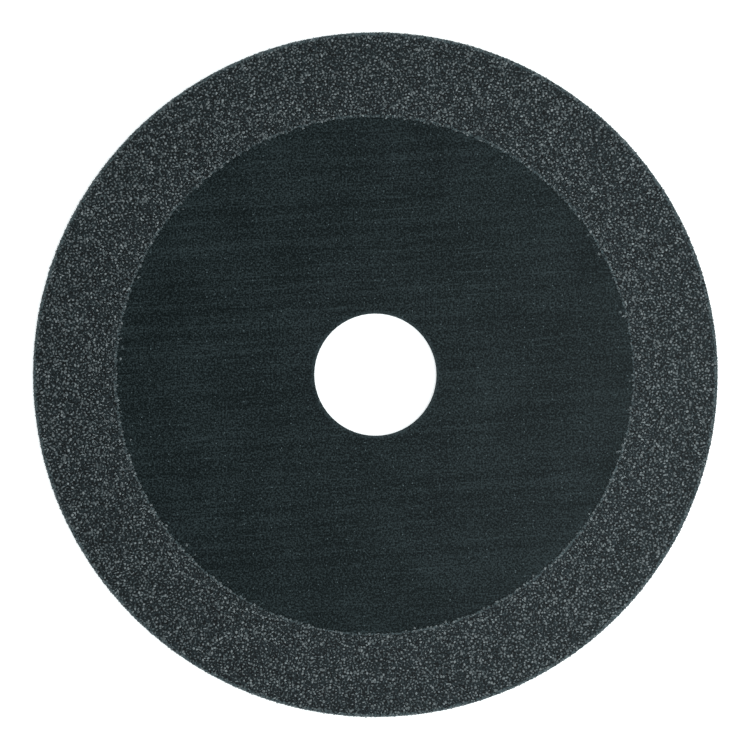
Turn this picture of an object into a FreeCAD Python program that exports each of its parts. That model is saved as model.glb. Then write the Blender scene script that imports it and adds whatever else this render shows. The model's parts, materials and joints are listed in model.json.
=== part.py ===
"""A 125 mm diamond cutting disc for a hand-held angle grinder.

The disc is a flat steel core with a plain bore, and its outer band carries one layer of diamond grit
in a metal bond. The layer covers the top face, the rim and the bottom face, so its section is a U
that grips the edge of the core. The two pieces are bonded, and nothing on the disc moves.

Lengths are in millimetres. The origin is the centre of the bore at half the core's thickness, and +Z
is the axis that the disc spins about. Each piece is turned from a section in the XZ plane. There the
first number is the distance from the axis and the second the height above the middle of the core.
"""

import FreeCAD, Part
import Sketcher
import math
import os

from FreeCAD import Vector

SIZES = {
    "disc_diameter": "125",        # over the tips of the grit on the rim
    "bore_diameter": "22.23",      # fits a 22.2 mm spindle flange
    "core_thickness": "1.2",       # of the bare steel
    "rim_chamfer": "0.15",         # broken edge of the core's rim, under the coating
    "bore_chamfer": "0.1",         # broken edge of the bore, on both faces
    "band_width": "15.5",          # of the coating on each face, measured in from the rim
    "coating_thickness": "0.35",   # one layer of 40/50 mesh grit with its bond
    "coating_taper": "0.3",        # width over which the coating runs out at its inner edge
}

# Formulas over the sizes above.
BORE_CHAMFER = "Sizes.bore_chamfer"
RIM_CHAMFER = "Sizes.rim_chamfer"
COATING = "Sizes.coating_thickness"
TAPER = "Sizes.coating_taper"
COATED_EDGE_RADIUS = f"{RIM_CHAMFER} + {COATING}"
HALF_CORE = "Sizes.core_thickness / 2"
BORE_RADIUS = "Sizes.bore_diameter / 2"
DISC_RADIUS = "Sizes.disc_diameter / 2"
CORE_RADIUS = f"{DISC_RADIUS} - {COATING}"
BAND_INNER_RADIUS = f"{DISC_RADIUS} - Sizes.band_width"

START, END = range(1, 3)           # the two ends of a sketch edge
ORIGIN = (-1, START)               # the sketch's horizontal axis, and its start

doc = FreeCAD.newDocument("diamond_cutting_disc")
sheet = doc.addObject("Spreadsheet::Sheet", "Sizes")
for row, (alias, number) in enumerate(SIZES.items(), start=1):
    sheet.set(f"A{row}", alias)
    sheet.set(f"B{row}", number)
    sheet.setAlias(f"B{row}", alias)
doc.recompute()


def value(formula):
    """The number that a formula over the sheet gives."""
    return float(sheet.evalExpression(formula))


def new_piece(name):
    """An empty body centred on the bore, with a sketch in its XZ plane for the section."""
    body = doc.addObject("PartDesign::Body", name)
    body.Label = name
    body.Placement = FreeCAD.Placement(Vector(0, 0, 0), FreeCAD.Rotation())
    section = body.newObject("Sketcher::SketchObject", f"{name}_section")
    plane = next(f for f in body.Origin.OriginFeatures if f.Role == "XZ_Plane")
    section.AttachmentSupport = (plane, "")
    section.MapMode = "FlatFace"
    return body, section


def draw(section, first_corner, steps):
    """Draws a closed outline clockwise, one edge a step, and ties the edges end to end.

    A step names its edge and gives the corner where the edge ends and, for an arc, the arc's centre.
    An arc bulges out and runs on smoothly from the lines beside it. The result gives, by name, the
    point where each edge starts and the point where it ends.
    """
    ends = {}
    corner = Vector(*first_corner)
    for name, (target, *centres) in steps.items():
        target = Vector(*target)
        if centres:
            # A sketch's arcs run anticlockwise, from their low angle to their high one.
            centre = Vector(*centres[0])
            spokes = target - centre, corner - centre
            circle = Part.Circle(centre, Vector(0, 0, 1), spokes[0].Length)
            angles = [math.atan2(spoke.y, spoke.x) for spoke in spokes]
            edge = section.addGeometry(Part.ArcOfCircle(circle, *angles), False)
            ends[name] = (edge, END), (edge, START)
        else:
            edge = section.addGeometry(Part.LineSegment(corner, target), False)
            ends[name] = (edge, START), (edge, END)
        corner = target

    names = list(steps)
    for before, after in zip(names, names[1:] + names[:1]):
        meets_arc = len(steps[before]) > 1 or len(steps[after]) > 1
        tie = "Tangent" if meets_arc else "Coincident"
        section.addConstraint(Sketcher.Constraint(tie, *ends[before][1], *ends[after][0]))
    return ends


def level(section, *edges):
    """Keeps straight edges parallel to the faces of the disc."""
    for (edge, _), _ in edges:
        section.addConstraint(Sketcher.Constraint("Horizontal", edge))


def mirror_points(section, upper, lower):
    """Holds two points at equal heights above and below the middle of the core."""
    horizontal_axis, _ = ORIGIN
    section.addConstraint(Sketcher.Constraint("Symmetric", *upper, *lower, horizontal_axis))


def mirror_edges(section, upper, lower):
    """Holds two edges, which the outline passes in opposite directions, as mirror images."""
    mirror_points(section, upper[0], lower[1])
    mirror_points(section, upper[1], lower[0])


def size(section, kind, *elements, formula):
    """Gives a distance or a radius in the section a size that follows the sheet."""
    index = section.addConstraint(Sketcher.Constraint(kind, *elements, value(formula)))
    section.setExpression(f"Constraints[{index}]", formula)


def revolve(body, section):
    """Turns the section about the disc's axis, with a face of its own for each edge."""
    turned = body.newObject("PartDesign::Revolution", f"{body.Name}_turned")
    turned.Profile = section
    turned.ReferenceAxis = (section, ["V_Axis"])
    turned.Angle = 360
    turned.Refine = False


def make_steel_core():
    """The steel disc, cut from sheet with its edges broken, and bored for the spindle flange.

    Each of its two faces has a circle at the inner edge of the coating. Inside it lies the bare ring
    that the grinder's flanges clamp.
    """
    core, section = new_piece("steel_core")
    half = value(HALF_CORE)
    bore, bore_chamfer = value(BORE_RADIUS), value(BORE_CHAMFER)
    rim, rim_chamfer = value(CORE_RADIUS), value(RIM_CHAMFER)
    band = value(BAND_INNER_RADIUS)

    ends = draw(section, (bore + bore_chamfer, half), {
        "upper_bare": [(band, half)],
        "upper_coated": [(rim - rim_chamfer, half)],
        "upper_rim_chamfer": [(rim, half - rim_chamfer)],
        "rim": [(rim, rim_chamfer - half)],
        "lower_rim_chamfer": [(rim - rim_chamfer, -half)],
        "lower_coated": [(band, -half)],
        "lower_bare": [(bore + bore_chamfer, -half)],
        "lower_bore_chamfer": [(bore, bore_chamfer - half)],
        "bore": [(bore, half - bore_chamfer)],
        "upper_bore_chamfer": [(bore + bore_chamfer, half)],
    })
    level(section, ends["upper_bare"], ends["upper_coated"])
    mirror_edges(section, ends["upper_rim_chamfer"], ends["lower_rim_chamfer"])
    mirror_edges(section, ends["upper_bore_chamfer"], ends["lower_bore_chamfer"])
    mirror_points(section, ends["upper_coated"][0], ends["lower_coated"][1])

    size(section, "DistanceX", *ORIGIN, *ends["bore"][1], formula=BORE_RADIUS)
    size(section, "DistanceX", *ORIGIN, *ends["upper_coated"][0], formula=BAND_INNER_RADIUS)
    size(section, "DistanceX", *ORIGIN, *ends["rim"][0], formula=CORE_RADIUS)
    size(section, "DistanceY", *ORIGIN, *ends["upper_bare"][0], formula=HALF_CORE)
    inner, outer = ends["upper_bore_chamfer"]
    size(section, "DistanceX", *inner, *outer, formula=BORE_CHAMFER)
    size(section, "DistanceY", *inner, *outer, formula=BORE_CHAMFER)
    inner, outer = ends["upper_rim_chamfer"]
    size(section, "DistanceX", *inner, *outer, formula=RIM_CHAMFER)
    size(section, "DistanceY", *outer, *inner, formula=RIM_CHAMFER)
    revolve(core, section)
    return core


def make_diamond_coating():
    """The grit and its bond, a U in section that lies on the core over its whole inner side.

    It is as thick round the rim as on the faces, and the grit stands round the core's broken edge in
    an arc. At its inner edge it runs out to nothing on the face of the core.
    """
    coating, section = new_piece("diamond_coating")
    half, thick, taper = value(HALF_CORE), value(COATING), value(TAPER)
    core_rim, chamfer = value(CORE_RADIUS), value(RIM_CHAMFER)
    band, rim = value(BAND_INNER_RADIUS), value(DISC_RADIUS)
    arc_x, arc_y = core_rim - chamfer, half - chamfer

    ends = draw(section, (band, half), {
        "upper_taper": [(band + taper, half + thick)],
        "upper_face": [(arc_x, half + thick)],
        "upper_edge": [(rim, arc_y), (arc_x, arc_y)],
        "rim": [(rim, -arc_y)],
        "lower_edge": [(arc_x, -half - thick), (arc_x, -arc_y)],
        "lower_face": [(band + taper, -half - thick)],
        "lower_taper": [(band, -half)],
        "lower_seat": [(core_rim - chamfer, -half)],
        "lower_chamfer_seat": [(core_rim, chamfer - half)],
        "rim_seat": [(core_rim, half - chamfer)],
        "upper_chamfer_seat": [(core_rim - chamfer, half)],
        "upper_seat": [(band, half)],
    })
    level(section, ends["upper_face"], ends["lower_face"], ends["upper_seat"])
    mirror_edges(section, ends["upper_taper"], ends["lower_taper"])
    mirror_edges(section, ends["upper_chamfer_seat"], ends["lower_chamfer_seat"])
    mirror_points(section, *ends["rim"])

    size(section, "DistanceX", *ORIGIN, *ends["rim"][0], formula=DISC_RADIUS)
    size(section, "DistanceX", *ORIGIN, *ends["rim_seat"][0], formula=CORE_RADIUS)
    size(section, "DistanceX", *ORIGIN, *ends["upper_taper"][0], formula=BAND_INNER_RADIUS)
    size(section, "DistanceY", *ORIGIN, *ends["upper_taper"][0], formula=HALF_CORE)
    inner, outer = ends["upper_taper"]
    size(section, "DistanceX", *inner, *outer, formula=TAPER)
    size(section, "DistanceY", *inner, *outer, formula=COATING)
    outer, inner = ends["upper_chamfer_seat"]
    size(section, "DistanceX", *inner, *outer, formula=RIM_CHAMFER)
    size(section, "DistanceY", *outer, *inner, formula=RIM_CHAMFER)
    size(section, "Radius", ends["upper_edge"][0][0], formula=COATED_EDGE_RADIUS)
    revolve(coating, section)
    return coating


pieces = [make_steel_core(), make_diamond_coating()]
doc.recompute()

for item in doc.Objects:
    if {"Invalid", "Error"} & set(item.State):
        raise RuntimeError(f"{item.Name} did not build: {item.State}")
    if item.TypeId == "Sketcher::SketchObject" and not item.FullyConstrained:
        raise RuntimeError(f"{item.Name} has an edge with no size")
for piece in pieces:
    if piece.Shape.isNull() or not piece.Shape.isValid():
        raise RuntimeError(f"{piece.Label} is not a sound solid")

os.makedirs("parts", exist_ok=True)
for piece in pieces:
    piece.Shape.exportStep(f"parts/{piece.Label}.step")
    print(piece.Label, f"{piece.Shape.Volume:.1f} mm3,", len(piece.Shape.Faces), "faces")
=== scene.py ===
import bpy
import json
import math
import random

from mathutils import Euler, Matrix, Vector


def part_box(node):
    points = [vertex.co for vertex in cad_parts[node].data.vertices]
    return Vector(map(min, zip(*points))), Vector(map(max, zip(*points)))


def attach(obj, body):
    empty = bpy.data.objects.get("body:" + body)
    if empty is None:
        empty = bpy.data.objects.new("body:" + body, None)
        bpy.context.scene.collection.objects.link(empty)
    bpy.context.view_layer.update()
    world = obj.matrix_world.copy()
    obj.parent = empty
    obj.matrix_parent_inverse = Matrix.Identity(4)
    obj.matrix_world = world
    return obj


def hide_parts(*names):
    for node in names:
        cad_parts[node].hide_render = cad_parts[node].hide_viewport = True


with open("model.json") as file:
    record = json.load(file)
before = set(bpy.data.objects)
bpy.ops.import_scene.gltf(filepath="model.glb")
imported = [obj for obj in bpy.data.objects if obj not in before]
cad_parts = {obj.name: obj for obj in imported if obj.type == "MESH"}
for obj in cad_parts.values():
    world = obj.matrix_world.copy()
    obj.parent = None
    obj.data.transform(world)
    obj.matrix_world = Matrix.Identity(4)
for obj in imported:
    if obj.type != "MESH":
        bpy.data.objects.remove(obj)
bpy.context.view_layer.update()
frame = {"nodes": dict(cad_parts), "record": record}

# The steel core is a flat disc of rolled sheet with a plain bore for the grinder's flange. Its faces
# were ground straight across and then blackened in a hot oxide bath, so the skin is matt, nearly
# black with a cold green cast, and the grinding lines still show through it.
MM = 0.001
MOTTLE_SIZE = 0.32 * MM           # of the light and dark flecks of the oxide
CLOUD_SIZE = 14 * MM              # of the broad patches that the bath leaves
GRINDING_ANGLE = math.radians(4)  # between the grinding lines and the X axis
GRINDING_LENGTH = 90 * MM
GRINDING_WIDTH = 1.6 * MM
SCRATCHES_ACROSS = 7              # single scratches in the width of a grinding line
SPECK_SPACING = 1.7 * MM          # between the stray specks of light dust and bare metal
SPECK_RADIUS = 0.1 * MM
BORE_RING_WIDTH = 0.9 * MM           # of the ring round the bore whose colour is made lighter

# How strongly each of them marks the oxide, whose shade runs from 0 to 1.
MOTTLE_DEPTH = 3.5
CLOUD_DEPTH = 0.5
GRINDING_DEPTH = 0.75
SCRATCH_DEPTH = 0.4
BORE_RING_DEPTH = 0.45

core = frame["nodes"]["steel_core"]
core_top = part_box("steel_core")[1].z
bore_radius = frame["record"]["mounts"][0]["dims"]["r_mm"] * MM


def linear(colour):
    """The linear colour that a shader takes, from an sRGB hex value."""
    channels = [int(colour[i:i + 2], 16) / 255 for i in (1, 3, 5)]
    return [c / 12.92 if c <= 0.04045 else ((c + 0.055) / 1.055) ** 2.4 for c in channels] + [1]


def add_node(tree, kind, inputs=None, output=None, **settings):
    """Adds a node with its settings, and returns its output of that name, or its first one in use.

    Each input, by its name or its number, gets a value or the output that is linked to it.
    """
    node = tree.nodes.new(kind)
    for name, setting in settings.items():
        setattr(node, name, setting)
    in_use = {entry.name: entry for entry in reversed(node.inputs) if entry.enabled}
    for name, given in (inputs or {}).items():
        entry = node.inputs[name] if isinstance(name, int) else in_use[name]
        if isinstance(given, bpy.types.NodeSocket):
            tree.links.new(given, entry)
        else:
            entry.default_value = given
    return next((s for s in node.outputs if s.enabled and output in (None, s.name)), None)


def new_material(name, constants):
    """A material whose shader has these constants, with its node tree and its shader."""
    material = bpy.data.materials.new(name)
    material.use_nodes = True
    shader = material.node_tree.nodes["Principled BSDF"]
    for constant, given in constants.items():
        shader.inputs[constant].default_value = given
    return material, material.node_tree, shader


# Hot-blackened steel: a matt dielectric skin over the metal, so it has colour but almost no gloss.
blackened_steel, tree, shader = new_material("hot_blackened_steel", {
    "Base Color": linear("#182325"), "Roughness": 0.5, "Specular IOR Level": 0.1})
place = add_node(tree, "ShaderNodeTexCoord", output="Object")
along_lines = add_node(tree, "ShaderNodeMapping", {
    "Vector": place, "Rotation": (0, 0, GRINDING_ANGLE), "Scale": (GRINDING_LENGTH, GRINDING_WIDTH, 1),
}, vector_type="TEXTURE")
mottle = add_node(tree, "ShaderNodeTexNoise", {
    "Vector": place, "Scale": 1 / MOTTLE_SIZE, "Detail": 2.0, "Roughness": 0.6})
cloud = add_node(tree, "ShaderNodeTexNoise", {"Vector": place, "Scale": 1 / CLOUD_SIZE, "Detail": 2.0})
lines = add_node(tree, "ShaderNodeTexNoise", {
    "Vector": along_lines, "Scale": 1.0, "Detail": 4.0, "Roughness": 0.65})
shade = 0.5
for pattern, depth in ((mottle, MOTTLE_DEPTH), (lines, GRINDING_DEPTH), (cloud, CLOUD_DEPTH)):
    about_zero = add_node(tree, "ShaderNodeMath", {0: pattern, 1: 0.5}, operation="SUBTRACT")
    shade = add_node(tree, "ShaderNodeMath", {0: about_zero, 1: depth, 2: shade}, operation="MULTIPLY_ADD")

# Only the peaks of a fine noise along the grinding lines are scratches.
single = add_node(tree, "ShaderNodeTexNoise", {
    "Vector": along_lines, "Scale": SCRATCHES_ACROSS, "Detail": 0.0})
scratched = add_node(tree, "ShaderNodeMapRange", {
    "Value": single, "From Min": 0.68, "From Max": 0.78, "To Min": 0.0, "To Max": SCRATCH_DEPTH})
flat_place = add_node(tree, "ShaderNodeMapping", {"Vector": place, "Scale": (1, 1, 0)})
from_axis = add_node(tree, "ShaderNodeVectorMath", {0: flat_place}, operation="LENGTH")
# The oxide's colour is made lighter in a thin ring round the bore.
lighter_round_bore = add_node(tree, "ShaderNodeMapRange", {
    "Value": from_axis, "From Min": bore_radius, "From Max": bore_radius + BORE_RING_WIDTH,
    "To Min": BORE_RING_DEPTH, "To Max": 0.0}, interpolation_type="SMOOTHSTEP")
shade = add_node(tree, "ShaderNodeMath", {0: shade, 1: scratched}, operation="ADD")
shade = add_node(tree, "ShaderNodeMath", {0: shade, 1: lighter_round_bore}, operation="ADD", use_clamp=True)

# More of the oxide is dark than light, so its shade is bent down before it is coloured.
flecks = add_node(tree, "ShaderNodeMath", {0: shade, 1: 1.9}, operation="POWER")
oxide = add_node(tree, "ShaderNodeMix", {
    "Factor": flecks, "A": linear("#050D0E"), "B": linear("#323B3D")}, data_type="RGBA")

# A speck lies in every cell, and few of them are bright.
speck_distance = add_node(tree, "ShaderNodeTexVoronoi", {
    "Vector": place, "Scale": 1 / SPECK_SPACING}, output="Distance", voronoi_dimensions="2D")
near = add_node(tree, "ShaderNodeMath", {
    0: speck_distance, 1: SPECK_RADIUS / SPECK_SPACING}, operation="LESS_THAN")
cell_value = add_node(tree, "ShaderNodeSeparateColor", {0: speck_distance.node.outputs["Color"]})
brightness = add_node(tree, "ShaderNodeMath", {0: cell_value, 1: 3.0}, operation="POWER")
speck = add_node(tree, "ShaderNodeMath", {0: near, 1: brightness}, operation="MULTIPLY")
oxide = add_node(tree, "ShaderNodeMix", {
    "Factor": speck, "A": oxide, "B": linear("#606B6E")}, data_type="RGBA")
tree.links.new(oxide, shader.inputs["Base Color"])
relief = add_node(tree, "ShaderNodeBump", {"Height": mottle, "Strength": 0.4, "Distance": 0.02 * MM})
tree.links.new(relief, shader.inputs["Normal"])

core.data.materials.clear()
core.data.materials.append(blackened_steel)

# The bond is nickel, plated over both faces of the masked core and round its rim until it holds the
# grit by about half its height. Where the mask lay it ends in a low step, ragged by about a grain.
BOND_HEIGHT = 0.10 * MM           # over the steel
CORE_EDGE = 0.15 * MM             # broken edge of the core's rim, under the bond
RIM_SEGMENTS = 5                  # round each edge of the rim
MASK_RADIUS = 46.95 * MM
MASK_OFFSET = Vector((-0.19 * MM, -0.09 * MM))  # from the axis, as the mask was laid by hand
MASK_LOBES = 0.09 * MM            # how far the mask, held at three points, swells between them
LOBE_ANGLE = math.radians(7)      # of the first of its three lobes
MASK_STEP = 0.25 * MM             # between the points that the ragged edge is made of
MASK_RAGGEDNESS = 0.13 * MM
LUMP_SIZE = 0.3 * MM              # of the nickel's surface

coating_low, coating_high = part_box("diamond_coating")
layer = coating_high.z - core_top
bond_radius = coating_high.x - layer + BOND_HEIGHT
bond_top = core_top + BOND_HEIGHT
band_middle = (MASK_RADIUS + bond_radius) / 2


def edit(piece, mode):
    """Opens a piece for editing with nothing selected, so that what is chosen next is all there is."""
    bpy.ops.object.mode_set(mode="OBJECT")
    bpy.ops.object.select_all(action="DESELECT")
    bpy.context.view_layer.objects.active = piece
    piece.select_set(True)
    bpy.ops.object.mode_set(mode="EDIT")
    bpy.ops.mesh.select_mode(type=mode)
    bpy.ops.mesh.select_all(action="DESELECT")
    bpy.ops.object.mode_set(mode="OBJECT")


bpy.ops.object.select_all(action="DESELECT")
bpy.ops.mesh.primitive_cylinder_add(
    vertices=round(math.tau * MASK_RADIUS / MASK_STEP), radius=bond_radius, depth=2 * bond_top)
bond = bpy.context.object
bond.name = "bond_layer"
edit(bond, "FACE")
for face in bond.data.polygons:
    face.select = abs(face.normal.z) > 0.9
bpy.ops.object.mode_set(mode="EDIT")
bpy.ops.mesh.inset(thickness=bond_radius - MASK_RADIUS)
bpy.ops.mesh.delete(type="FACE")

edit(bond, "EDGE")
points = bond.data.vertices
for edge in bond.data.edges:
    one, other = (points[i].co for i in edge.vertices)
    edge.select = min(one.xy.length, other.xy.length) > band_middle and one.z * other.z > 0
bpy.ops.object.mode_set(mode="EDIT")
bpy.ops.mesh.bevel(offset=BOND_HEIGHT + CORE_EDGE, segments=RIM_SEGMENTS)
bpy.ops.object.mode_set(mode="OBJECT")

mask_edge = random.Random(47)
for point in bond.data.vertices:
    if point.co.xy.length < band_middle:
        lobes = MASK_LOBES * math.cos(3 * (math.atan2(point.co.y, point.co.x) - LOBE_ANGLE))
        ragged = 1 + (lobes + mask_edge.uniform(-MASK_RAGGEDNESS, MASK_RAGGEDNESS)) / MASK_RADIUS
        point.co.xy = point.co.xy * ragged + MASK_OFFSET

# The grit is scattered on this skin before it gets its thickness.
skin = bond.data.copy()
thickness = bond.modifiers.new("plated_thickness", "SOLIDIFY")
thickness.thickness = BOND_HEIGHT
thickness.offset = -1
edit(bond, "FACE")
bpy.ops.object.modifier_apply(modifier=thickness.name)

# Plated nickel that has gone dark: metal, but rough and dull, so between the grains it stays black.
dark_nickel, tree, shader = new_material("dark_plated_nickel", {
    "Base Color": linear("#12181A"), "Metallic": 0.3, "Roughness": 0.6, "Specular IOR Level": 0.3})
place = add_node(tree, "ShaderNodeTexCoord", output="Object")
lumps = add_node(tree, "ShaderNodeTexNoise", {"Vector": place, "Scale": 1 / LUMP_SIZE, "Detail": 2.0})
stronger = add_node(tree, "ShaderNodeMath", {0: lumps, 1: 5.0, 2: -2.0}, operation="MULTIPLY_ADD")
nickel = add_node(tree, "ShaderNodeMix", {
    "Factor": stronger, "A": linear("#030405"), "B": linear("#242C2F")}, data_type="RGBA")

# Painted highlight: the nickel's colour is made lighter along the mask's edge and round the rim, where the
# step and the rounded rim catch the light.
painted_edge_highlight = 0.0
for middle, starts, stops, share, share_beyond in (
        (MASK_OFFSET, MASK_RADIUS + 0.2 * MM, MASK_RADIUS + 0.5 * MM, 1.0, 0.0),
        (Vector((0, 0)), bond_radius - 0.8 * MM, bond_radius - 0.1 * MM, 0.0, 2.4)):
    flat_place = add_node(tree, "ShaderNodeMapping", {
        "Vector": place, "Location": (*-middle, 0), "Scale": (1, 1, 0)})
    distance = add_node(tree, "ShaderNodeVectorMath", {0: flat_place}, operation="LENGTH")
    ring = add_node(tree, "ShaderNodeMapRange", {
        "Value": distance, "From Min": starts, "From Max": stops, "To Min": share, "To Max": share_beyond,
    }, interpolation_type="SMOOTHSTEP")
    painted_edge_highlight = add_node(tree, "ShaderNodeMath", {0: ring, 1: painted_edge_highlight}, operation="MAXIMUM")
painted_edge_highlight = add_node(tree, "ShaderNodeMath", {
    0: painted_edge_highlight, 1: stronger}, operation="MULTIPLY", use_clamp=True)
# The painted highlight mixes a light grey into the nickel.
nickel = add_node(tree, "ShaderNodeMix", {
    "Factor": painted_edge_highlight, "A": nickel, "B": linear("#4E595C")}, data_type="RGBA")
tree.links.new(nickel, shader.inputs["Base Color"])
relief = add_node(tree, "ShaderNodeBump", {"Height": lumps, "Strength": 0.8, "Distance": 0.1 * MM})
tree.links.new(relief, shader.inputs["Normal"])

bond.data.materials.append(dark_nickel)
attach(bond, "root")
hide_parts("diamond_coating")

# The grit is one layer of blocky synthetic diamonds, which lie on the steel on their flat sides with
# their tops free. Four habits of crystal are modelled once each and scattered over the whole skin:
# whole ones, ones with a corner cleaved off, flat shards and long splinters.
GRAIN_RADIUS = 0.39 * MM          # half the length of the largest grain
SMALLEST_GRAIN = 0.62             # over the largest
SHORTEST_GRAIN = 0.9              # over the longest of its size
GRAIN_FLATNESS = 0.32             # height of the highest grain over its length
LOWEST_GRAIN = 0.85               # over the highest of its size
WIDTH_RANGE = 0.3                 # from a habit's narrowest grain to its widest, over the length
GRAIN_SEAT = 0.255                # height of a grain's middle over the steel, in half lengths
GRAIN_TILT = math.radians(20)     # of a grain off its flat side, at most
LEAST_DISTANCE = 0.43 * MM        # between the middles of two grains
MOST_DENSE = 16 / MM ** 2         # of the places that are tried
STRAY_WIDTH = 1.0 * MM            # of the bare ring inside the mask's edge that a few grains reached
STRAY_SHARE = 0.03
SORTING_POINT = (0.19, 0.07, 0.05)  # off every axis, beside the disc


def whole_crystal():
    """A cube whose corners are cut off to the middles of its edges, with 14 faces."""
    bpy.ops.mesh.primitive_cube_add(size=math.sqrt(2))
    edit(bpy.context.object, "VERT")
    bpy.ops.object.mode_set(mode="EDIT")
    bpy.ops.mesh.select_all(action="SELECT")
    bpy.ops.mesh.bevel(affect="VERTICES", offset=math.sqrt(2) / 2, segments=1)
    bpy.ops.mesh.remove_doubles(threshold=0.001)
    bpy.ops.object.mode_set(mode="OBJECT")


def broken_crystal():
    """A six-sided block with a sloping top, where it cleaved."""
    bpy.ops.mesh.primitive_cone_add(vertices=6, radius1=1, radius2=0.6, depth=2.4)
    edit(bpy.context.object, "VERT")
    bpy.ops.object.mode_set(mode="EDIT")
    bpy.ops.mesh.select_all(action="SELECT")
    bpy.ops.mesh.bisect(plane_co=(0, 0, 0.6), plane_no=(0.35, 0.2, 1), use_fill=True, clear_outer=True)
    bpy.ops.object.mode_set(mode="OBJECT")


def narrow_top(crystal, share):
    """Narrows the flat top of a crystal to a share of its length and width."""
    edit(crystal, "FACE")
    for face in crystal.data.polygons:
        face.select = face.normal.z > 0.9
    bpy.ops.object.mode_set(mode="EDIT")
    bpy.ops.transform.resize(value=(*share, 1))
    bpy.ops.object.mode_set(mode="OBJECT")


def shard():
    """A five-sided wedge, sharp along its top."""
    bpy.ops.mesh.primitive_cone_add(vertices=5, radius1=1, radius2=0.35, depth=2)
    narrow_top(bpy.context.object, (1.6, 0.5))


def splinter():
    """A long splinter with four flanks, which meet in a ridge along its top."""
    bpy.ops.mesh.primitive_cube_add(size=2)
    narrow_top(bpy.context.object, (0.55, 0.08))


# Synthetic diamond, dull from the crushing mill: a high index, so its facets catch the light, over
# a body that is dark with the metal that it grew in. Fresh breaks are lighter than grown faces.
HABITS = {  # each crystal's shape, its least width over its length, its finish and its colour
    whole_crystal: (0.7, "grown_synthetic_diamond", "#253033"),
    broken_crystal: (0.5, "cleaved_synthetic_diamond", "#333E41"),
    shard: (0.4, "crushed_synthetic_diamond", "#293437"),
    splinter: (0.4, "splintered_synthetic_diamond", "#333E41"),
}

# The bed that the grit is scattered on is the bond's skin, drawn in over the bare ring.
bed = bpy.data.objects.new("grit_bed", skin)
bpy.context.scene.collection.objects.link(bed)
edit(bed, "EDGE")
points = bed.data.vertices
for edge in bed.data.edges:
    edge.select = max(points[i].co.xy.length for i in edge.vertices) < band_middle
bpy.ops.object.mode_set(mode="EDIT")
bpy.ops.mesh.extrude_edges_move()
inwards = 1 - STRAY_WIDTH / MASK_RADIUS
bpy.ops.transform.resize(value=(inwards, inwards, 1), center_override=(0, 0, 0))

# The extruded faces come in another order each time, and the scatter follows the order of the faces,
# so they are put in the order of their distance from one point.
edit(bed, "FACE")
for face in bed.data.polygons:
    face.select = face.center.xy.length < MASK_RADIUS + MASK_RAGGEDNESS
bpy.ops.object.mode_set(mode="EDIT")
bpy.context.scene.cursor.location = SORTING_POINT
bpy.ops.mesh.sort_elements(type="CURSOR_DISTANCE", elements={"FACE"})
bpy.ops.object.mode_set(mode="OBJECT")
share = bed.data.attributes.new("grit_share", "FLOAT", "FACE")
for face in bed.data.polygons:
    share.data[face.index].value = STRAY_SHARE if face.select else 1

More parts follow.
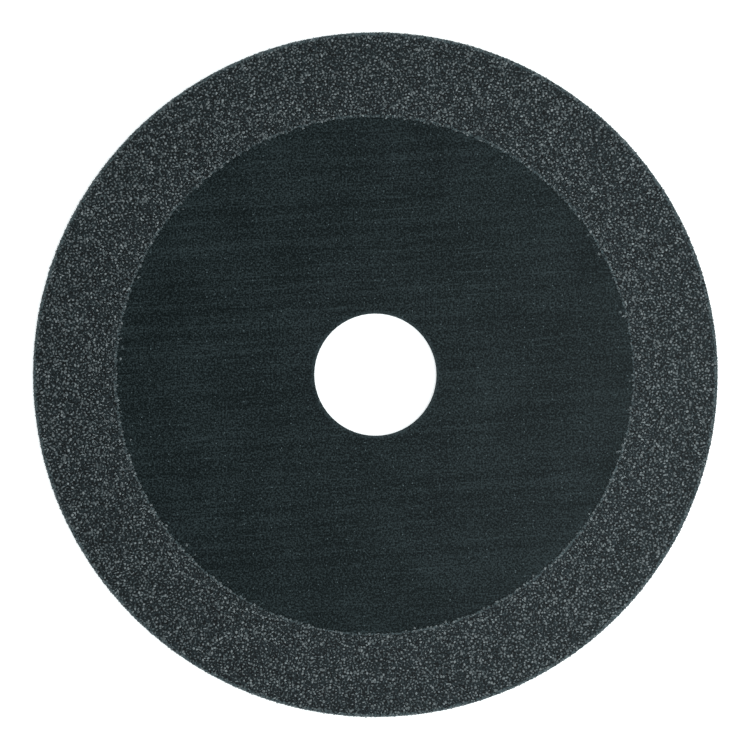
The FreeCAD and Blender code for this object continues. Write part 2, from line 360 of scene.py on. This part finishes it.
for number, (make_crystal, (narrowest, finish, colour)) in enumerate(HABITS.items()):
    bpy.ops.object.select_all(action="DESELECT")
    make_crystal()
    crystal = bpy.context.object
    grit = bpy.data.objects.new(f"grit_{make_crystal.__name__}s", bed.data.copy())
    bpy.context.scene.collection.objects.link(grit)

    tree = bpy.data.node_groups.new(f"scatter_{make_crystal.__name__}s", "GeometryNodeTree")
    for way in ("INPUT", "OUTPUT"):
        tree.interface.new_socket("Geometry", in_out=way, socket_type="NodeSocketGeometry")
    skin_in = add_node(tree, "NodeGroupInput")
    share = add_node(tree, "GeometryNodeInputNamedAttribute", {"Name": "grit_share"}, data_type="FLOAT")
    places = add_node(tree, "GeometryNodeDistributePointsOnFaces", {
        "Mesh": skin_in, "Distance Min": LEAST_DISTANCE, "Density Max": MOST_DENSE,
        "Density Factor": share, "Seed": 7}, output="Points", distribute_method="POISSON")

    # What is random about each grain has the same seed for every habit, so each place gets one grain.
    ranges = (
        ("FLOAT", SMALLEST_GRAIN * GRAIN_RADIUS, GRAIN_RADIUS),
        ("INT", 0, len(HABITS) - 1),
        ("FLOAT_VECTOR", (-GRAIN_TILT, -GRAIN_TILT, 0), (GRAIN_TILT, GRAIN_TILT, math.tau)),
        ("FLOAT_VECTOR", (SHORTEST_GRAIN, narrowest, GRAIN_FLATNESS * LOWEST_GRAIN),
         (1, narrowest + WIDTH_RANGE, GRAIN_FLATNESS)),
    )
    radius, habit, turn, form = (
        add_node(tree, "FunctionNodeRandomValue", {"Min": least, "Max": most, "Seed": seed}, data_type=kind)
        for seed, (kind, least, most) in enumerate(ranges, start=1))
    seat = add_node(tree, "ShaderNodeMath", {
        0: radius, 1: GRAIN_SEAT, 2: -BOND_HEIGHT}, operation="MULTIPLY_ADD")
    lift = add_node(tree, "ShaderNodeVectorMath", {
        0: places.node.outputs["Normal"], "Scale": seat}, operation="SCALE")
    seated = add_node(tree, "GeometryNodeSetPosition", {"Geometry": places, "Offset": lift})
    chosen = add_node(tree, "FunctionNodeCompare", {
        "A": habit, "B": number}, data_type="INT", operation="EQUAL")
    stance = add_node(tree, "FunctionNodeRotateRotation", {
        "Rotation": places.node.outputs["Rotation"], "Rotate By": turn}, rotation_space="LOCAL")
    scale = add_node(tree, "ShaderNodeVectorMath", {0: form, "Scale": radius}, operation="SCALE")
    model = add_node(tree, "GeometryNodeObjectInfo", {"Object": crystal}, output="Geometry")
    copies = add_node(tree, "GeometryNodeInstanceOnPoints", {
        "Points": seated, "Selection": chosen, "Instance": model, "Rotation": stance, "Scale": scale})
    grains = add_node(tree, "GeometryNodeRealizeInstances", {"Geometry": copies})
    add_node(tree, "NodeGroupOutput", {0: grains})
    scatter = grit.modifiers.new("scatter", "NODES")
    scatter.node_group = tree
    edit(grit, "FACE")
    bpy.ops.object.modifier_apply(modifier=scatter.name)
    bpy.data.objects.remove(crystal)

    diamond, _, _ = new_material(finish, {
        "Base Color": linear(colour), "Roughness": 0.48, "IOR": 2.42, "Specular IOR Level": 0.4})
    grit.data.materials.clear()
    grit.data.materials.append(diamond)
    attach(grit, "root")
bpy.data.objects.remove(bed)

# The studio: a pale board under the disc, a camera straight above it, and softboxes round the sides,
# so that the flat steel mirrors only the dim room overhead while the tilted facets catch the boxes.
FLOOR_SIZE = 1.4
FLOOR_GLOW = 0.6                  # of the board, which is lit from behind
SOFTBOXES = {  # direction, height angle, distance, width, depth and power
    "key_softbox": (-80, 27, 0.85, 1.2, 0.4, 5.6),
    "fill_softbox": (95, 27, 0.85, 1.2, 0.4, 4.2),
    "edge_softbox": (170, 25, 0.85, 0.6, 0.4, 0.9),
    "top_softbox": (-12, 70, 0.32, 0.2, 0.15, 0.49),
}
DAYLIGHT = (0.87, 0.98, 1.0)      # the softboxes' and the walls' cold white
WALL_LIGHT = 0.35
CEILING_LIGHT = 0.06
WALL_TOP = 0.5                    # sine of the angle above the horizon at which the walls end
CAMERA_HEIGHT = 378.4 * MM
CAMERA_OFFSET = (-0.068 * MM, -0.058 * MM)

bpy.ops.object.select_all(action="DESELECT")
bpy.ops.mesh.primitive_plane_add(size=FLOOR_SIZE, location=(0, 0, coating_low.z))
floor = bpy.context.object
floor.name = "floor"
board, _, _ = new_material("lit_white_acrylic", {
    "Base Color": linear("#FAFAFA"), "Roughness": 0.9,
    "Emission Color": (1, 1, 1, 1), "Emission Strength": FLOOR_GLOW})
floor.data.materials.append(board)

for name, (direction, height, distance, width, depth, power) in SOFTBOXES.items():
    stand = Vector((distance, 0, 0))
    stand.rotate(Euler((0, -math.radians(height), math.radians(direction))))
    aim = (-stand).to_track_quat("-Z", "Y").to_euler()
    bpy.ops.object.light_add(type="AREA", location=stand, rotation=aim)
    softbox = bpy.context.object
    softbox.name = name
    softbox.data.shape = "RECTANGLE"
    softbox.data.size = width
    softbox.data.size_y = depth
    softbox.data.energy = power
    softbox.data.color = DAYLIGHT

# The room lights the disc with its walls and its dim ceiling, and the camera sees plain white.
room = bpy.data.worlds.new("room")
bpy.context.scene.world = room
room.use_nodes = True
tree = room.node_tree
tree.nodes.clear()
direction = add_node(tree, "ShaderNodeTexCoord", output="Generated")
height = add_node(tree, "ShaderNodeSeparateXYZ", {0: direction}, output="Z")
glow = add_node(tree, "ShaderNodeMapRange", {
    "Value": height, "From Max": WALL_TOP, "To Min": WALL_LIGHT, "To Max": CEILING_LIGHT})
walls = add_node(tree, "ShaderNodeBackground", {"Color": (*DAYLIGHT, 1), "Strength": glow})
backdrop = add_node(tree, "ShaderNodeBackground", {"Color": (1, 1, 1, 1), "Strength": 1.0})
seen = add_node(tree, "ShaderNodeLightPath", output="Is Camera Ray")
both = add_node(tree, "ShaderNodeMixShader", {0: seen, 1: walls, 2: backdrop})
add_node(tree, "ShaderNodeOutputWorld", {"Surface": both})

bpy.ops.object.camera_add(location=(*CAMERA_OFFSET, coating_high.z + CAMERA_HEIGHT), rotation=(0, 0, 0))
camera = bpy.context.object
camera.data.lens = 100
camera.data.sensor_width = 36
bpy.context.scene.camera = camera
bpy.context.scene.view_settings.view_transform = "Standard"
